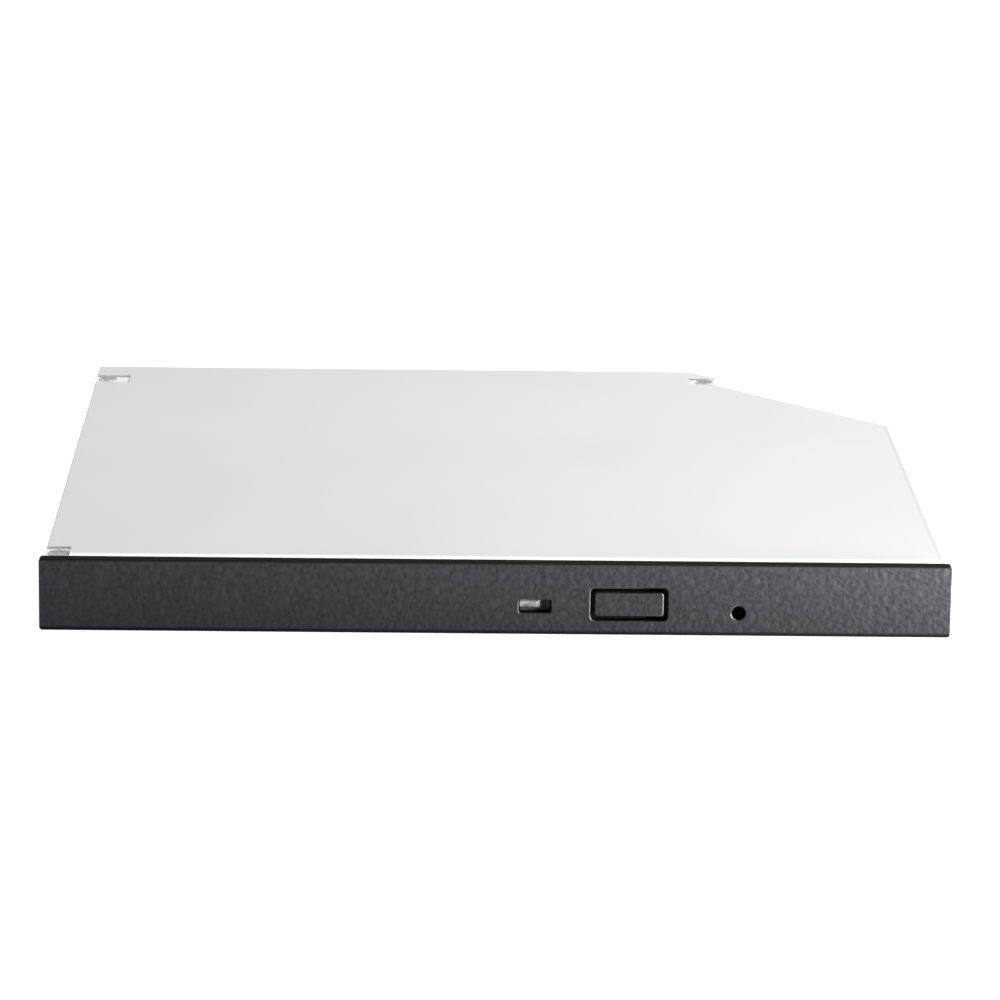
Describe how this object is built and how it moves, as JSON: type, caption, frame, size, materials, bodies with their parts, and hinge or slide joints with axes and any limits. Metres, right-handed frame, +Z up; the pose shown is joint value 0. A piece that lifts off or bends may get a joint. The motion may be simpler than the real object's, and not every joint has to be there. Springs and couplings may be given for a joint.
{
  "type": "internal dvd writer",
  "caption": "Ultra-slim internal disc writer: flat sheet-metal body with one cut rear corner, sliding tray with spindle and optical pickup, dark grained bezel with eject button.",
  "frame": {"origin": "under the middle of the whole drive, on the plane of the bezel's lower edge", "axes": "+X to the right seen from the bezel, +Y from the bezel to the rear wall, +Z up through the top cover"},
  "size_m": [0.128, 0.128, 0.0103],
  "materials": {
    "cover_paint": "fine matt paint",
    "case_sheet": "plain galvanised sheet",
    "rail_sheet": "bare folded sheet",
    "screw_steel": "nickel plated",
    "bezel_plastic": "fine leather grain",
    "tray_plastic": "moulded, fine matt",
    "indicator_plastic": "pale, clear",
    "board_laminate": "green solder mask",
    "chip_resin": "matt moulded resin",
    "connector_plastic": "pale moulded plastic",
    "plug_plastic": "black moulded plastic",
    "contact_gold": "gold plated",
    "flex_film": "pale film with copper lines",
    "frame_cast": "black coated",
    "plate_steel": "satin plate",
    "shaft_steel": "ground and polished",
    "damper_rubber": "soft rubber",
    "pickup_metal": "die cast",
    "actuator_resin": "dark resin",
    "lens_glass": "coated glass",
    "coil_copper": "enamelled copper wire",
    "hub_plastic": "smooth moulded plastic",
    "white_plastic": "low friction plastic",
    "spring_steel": "drawn wire"
  },
  "bodies": {
    "case": {"lower_case": "case_sheet", "top_cover": "cover_paint", "cover_screws": "screw_steel", "left_outer_rail": "rail_sheet", "right_outer_rail": "rail_sheet", "interface_board": "board_laminate", "board_screws": "screw_steel", "sata_connector": "plug_plastic", "sata_contacts": "contact_gold", "floor_flex": "flex_film", "rolling_flex": "flex_film", "lock_post": "screw_steel", "ejector_housing": "white_plastic", "ejector_spring": "spring_steel"},
    "left_rail_body": {"left_rail": "rail_sheet"},
    "right_rail_body": {"right_rail": "rail_sheet"},
    "ejector": {"ejector_rod": "white_plastic"},
    "tray_body": {"tray": "tray_plastic", "bezel": "bezel_plastic", "indicator_lens": "indicator_plastic", "indicator_led": "indicator_plastic", "eject_switch": "connector_plastic", "control_board": "board_laminate", "controller_chips": "chip_resin", "board_connectors": "connector_plastic", "under_cover": "plate_steel", "under_cover_screws": "screw_steel", "traverse_frame": "frame_cast", "damper_bushes": "damper_rubber", "damper_screws": "screw_steel", "traverse_cover": "plate_steel", "main_shaft": "shaft_steel", "sub_shaft": "shaft_steel", "sled_motor": "plate_steel", "spindle_base": "plate_steel", "spindle_stator": "coil_copper", "spindle_bearing": "contact_gold", "latch_pin": "shaft_steel", "latch_spring": "spring_steel", "solenoid_yoke": "plate_steel", "solenoid_coil": "coil_copper", "pickup_flex": "flex_film"},
    "button": {"eject_button": "bezel_plastic"},
    "spindle": {"rotor_cup": "plate_steel", "turntable": "hub_plastic", "friction_ring": "damper_rubber", "spindle_shaft": "shaft_steel", "chuck_hub": "hub_plastic"},
    "claw_1_body": {"claw_1": "hub_plastic"},
    "claw_2_body": {"claw_2": "hub_plastic"},
    "claw_3_body": {"claw_3": "hub_plastic"},
    "sled": {"pickup_body": "pickup_metal", "pickup_cover": "plate_steel", "actuator_base": "actuator_resin", "sled_rack": "white_plastic"},
    "lens_mover": {"lens_holder": "actuator_resin", "objective_lens": "lens_glass"},
    "screw_drive": {"lead_screw": "shaft_steel"},
    "latch": {"latch_lever": "white_plastic"},
    "plunger": {"solenoid_plunger": "screw_steel"}
  },
  "joints": [
    {"name": "tray_slide", "type": "slide", "parent": "case", "child": "tray_body", "axis": [0, -1, 0], "range_m": [0, 0.118], "deforming": ["rolling_flex"]},
    {"name": "left_rail_slide", "type": "slide", "parent": "case", "child": "left_rail_body", "axis": [0, -1, 0], "range_m": [0, 0.059]},
    {"name": "right_rail_slide", "type": "slide", "parent": "case", "child": "right_rail_body", "axis": [0, -1, 0], "range_m": [0, 0.059]},
    {"name": "ejector_slide", "type": "slide", "parent": "case", "child": "ejector", "axis": [0, -1, 0], "range_m": [0, 0.008], "deforming": ["ejector_spring"]},
    {"name": "button_press", "type": "slide", "parent": "tray_body", "child": "button", "axis": [0, 1, 0], "range_m": [0, 0.0006], "stiffness_N_per_m": 1500},
    {"name": "spindle_spin", "type": "hinge", "parent": "tray_body", "child": "spindle", "pos_m": [0, 0.0005, 0.004], "axis": [0, 0, 1], "continuous": true},
    {"name": "sled_slide", "type": "slide", "parent": "tray_body", "child": "sled", "axis": [-0.7071, -0.7071, 0], "range_m": [0, 0.0345], "deforming": ["pickup_flex"]},
    {"name": "focus_slide", "type": "slide", "parent": "sled", "child": "lens_mover", "axis": [0, 0, 1], "range_m": [-0.0004, 0.0004], "stiffness_N_per_m": 60},
    {"name": "screw_spin", "type": "hinge", "parent": "tray_body", "child": "screw_drive", "pos_m": [0.01513, -0.01463, 0.0035], "axis": [-0.7071, -0.7071, 0], "range_deg": [0, 4141]},
    {"name": "latch_pivot", "type": "hinge", "parent": "tray_body", "child": "latch", "pos_m": [0.046, -0.052, 0.00245], "axis": [0, 0, 1], "range_deg": [0, 12], "stiffness_Nm_per_rad": 0.002, "deforming": ["latch_spring"]},
    {"name": "plunger_slide", "type": "slide", "parent": "tray_body", "child": "plunger", "axis": [0, -1, 0], "range_m": [0, 0.0013]},
    {"name": "claw_1_slide", "type": "slide", "parent": "spindle", "child": "claw_1_body", "axis": [-1, 0, 0], "range_m": [0, 0.0004], "stiffness_N_per_m": 800},
    {"name": "claw_2_slide", "type": "slide", "parent": "spindle", "child": "claw_2_body", "axis": [0.5, -0.866, 0], "range_m": [0, 0.0004], "stiffness_N_per_m": 800},
    {"name": "claw_3_slide", "type": "slide", "parent": "spindle", "child": "claw_3_body", "axis": [0.5, 0.866, 0], "range_m": [0, 0.0004], "stiffness_N_per_m": 800}
  ],
  "couplings": [
    {"joint": "left_rail_slide", "follows": "tray_slide", "ratio": 0.5},
    {"joint": "right_rail_slide", "follows": "tray_slide", "ratio": 0.5},
    {"joint": "ejector_slide", "follows": "tray_slide", "ratio": 0.0677},
    {"joint": "screw_spin", "follows": "sled_slide", "rad_per_m": 2094.4},
    {"joint": "plunger_slide", "follows": "latch_pivot", "m_per_rad": 0.006}
  ]
}
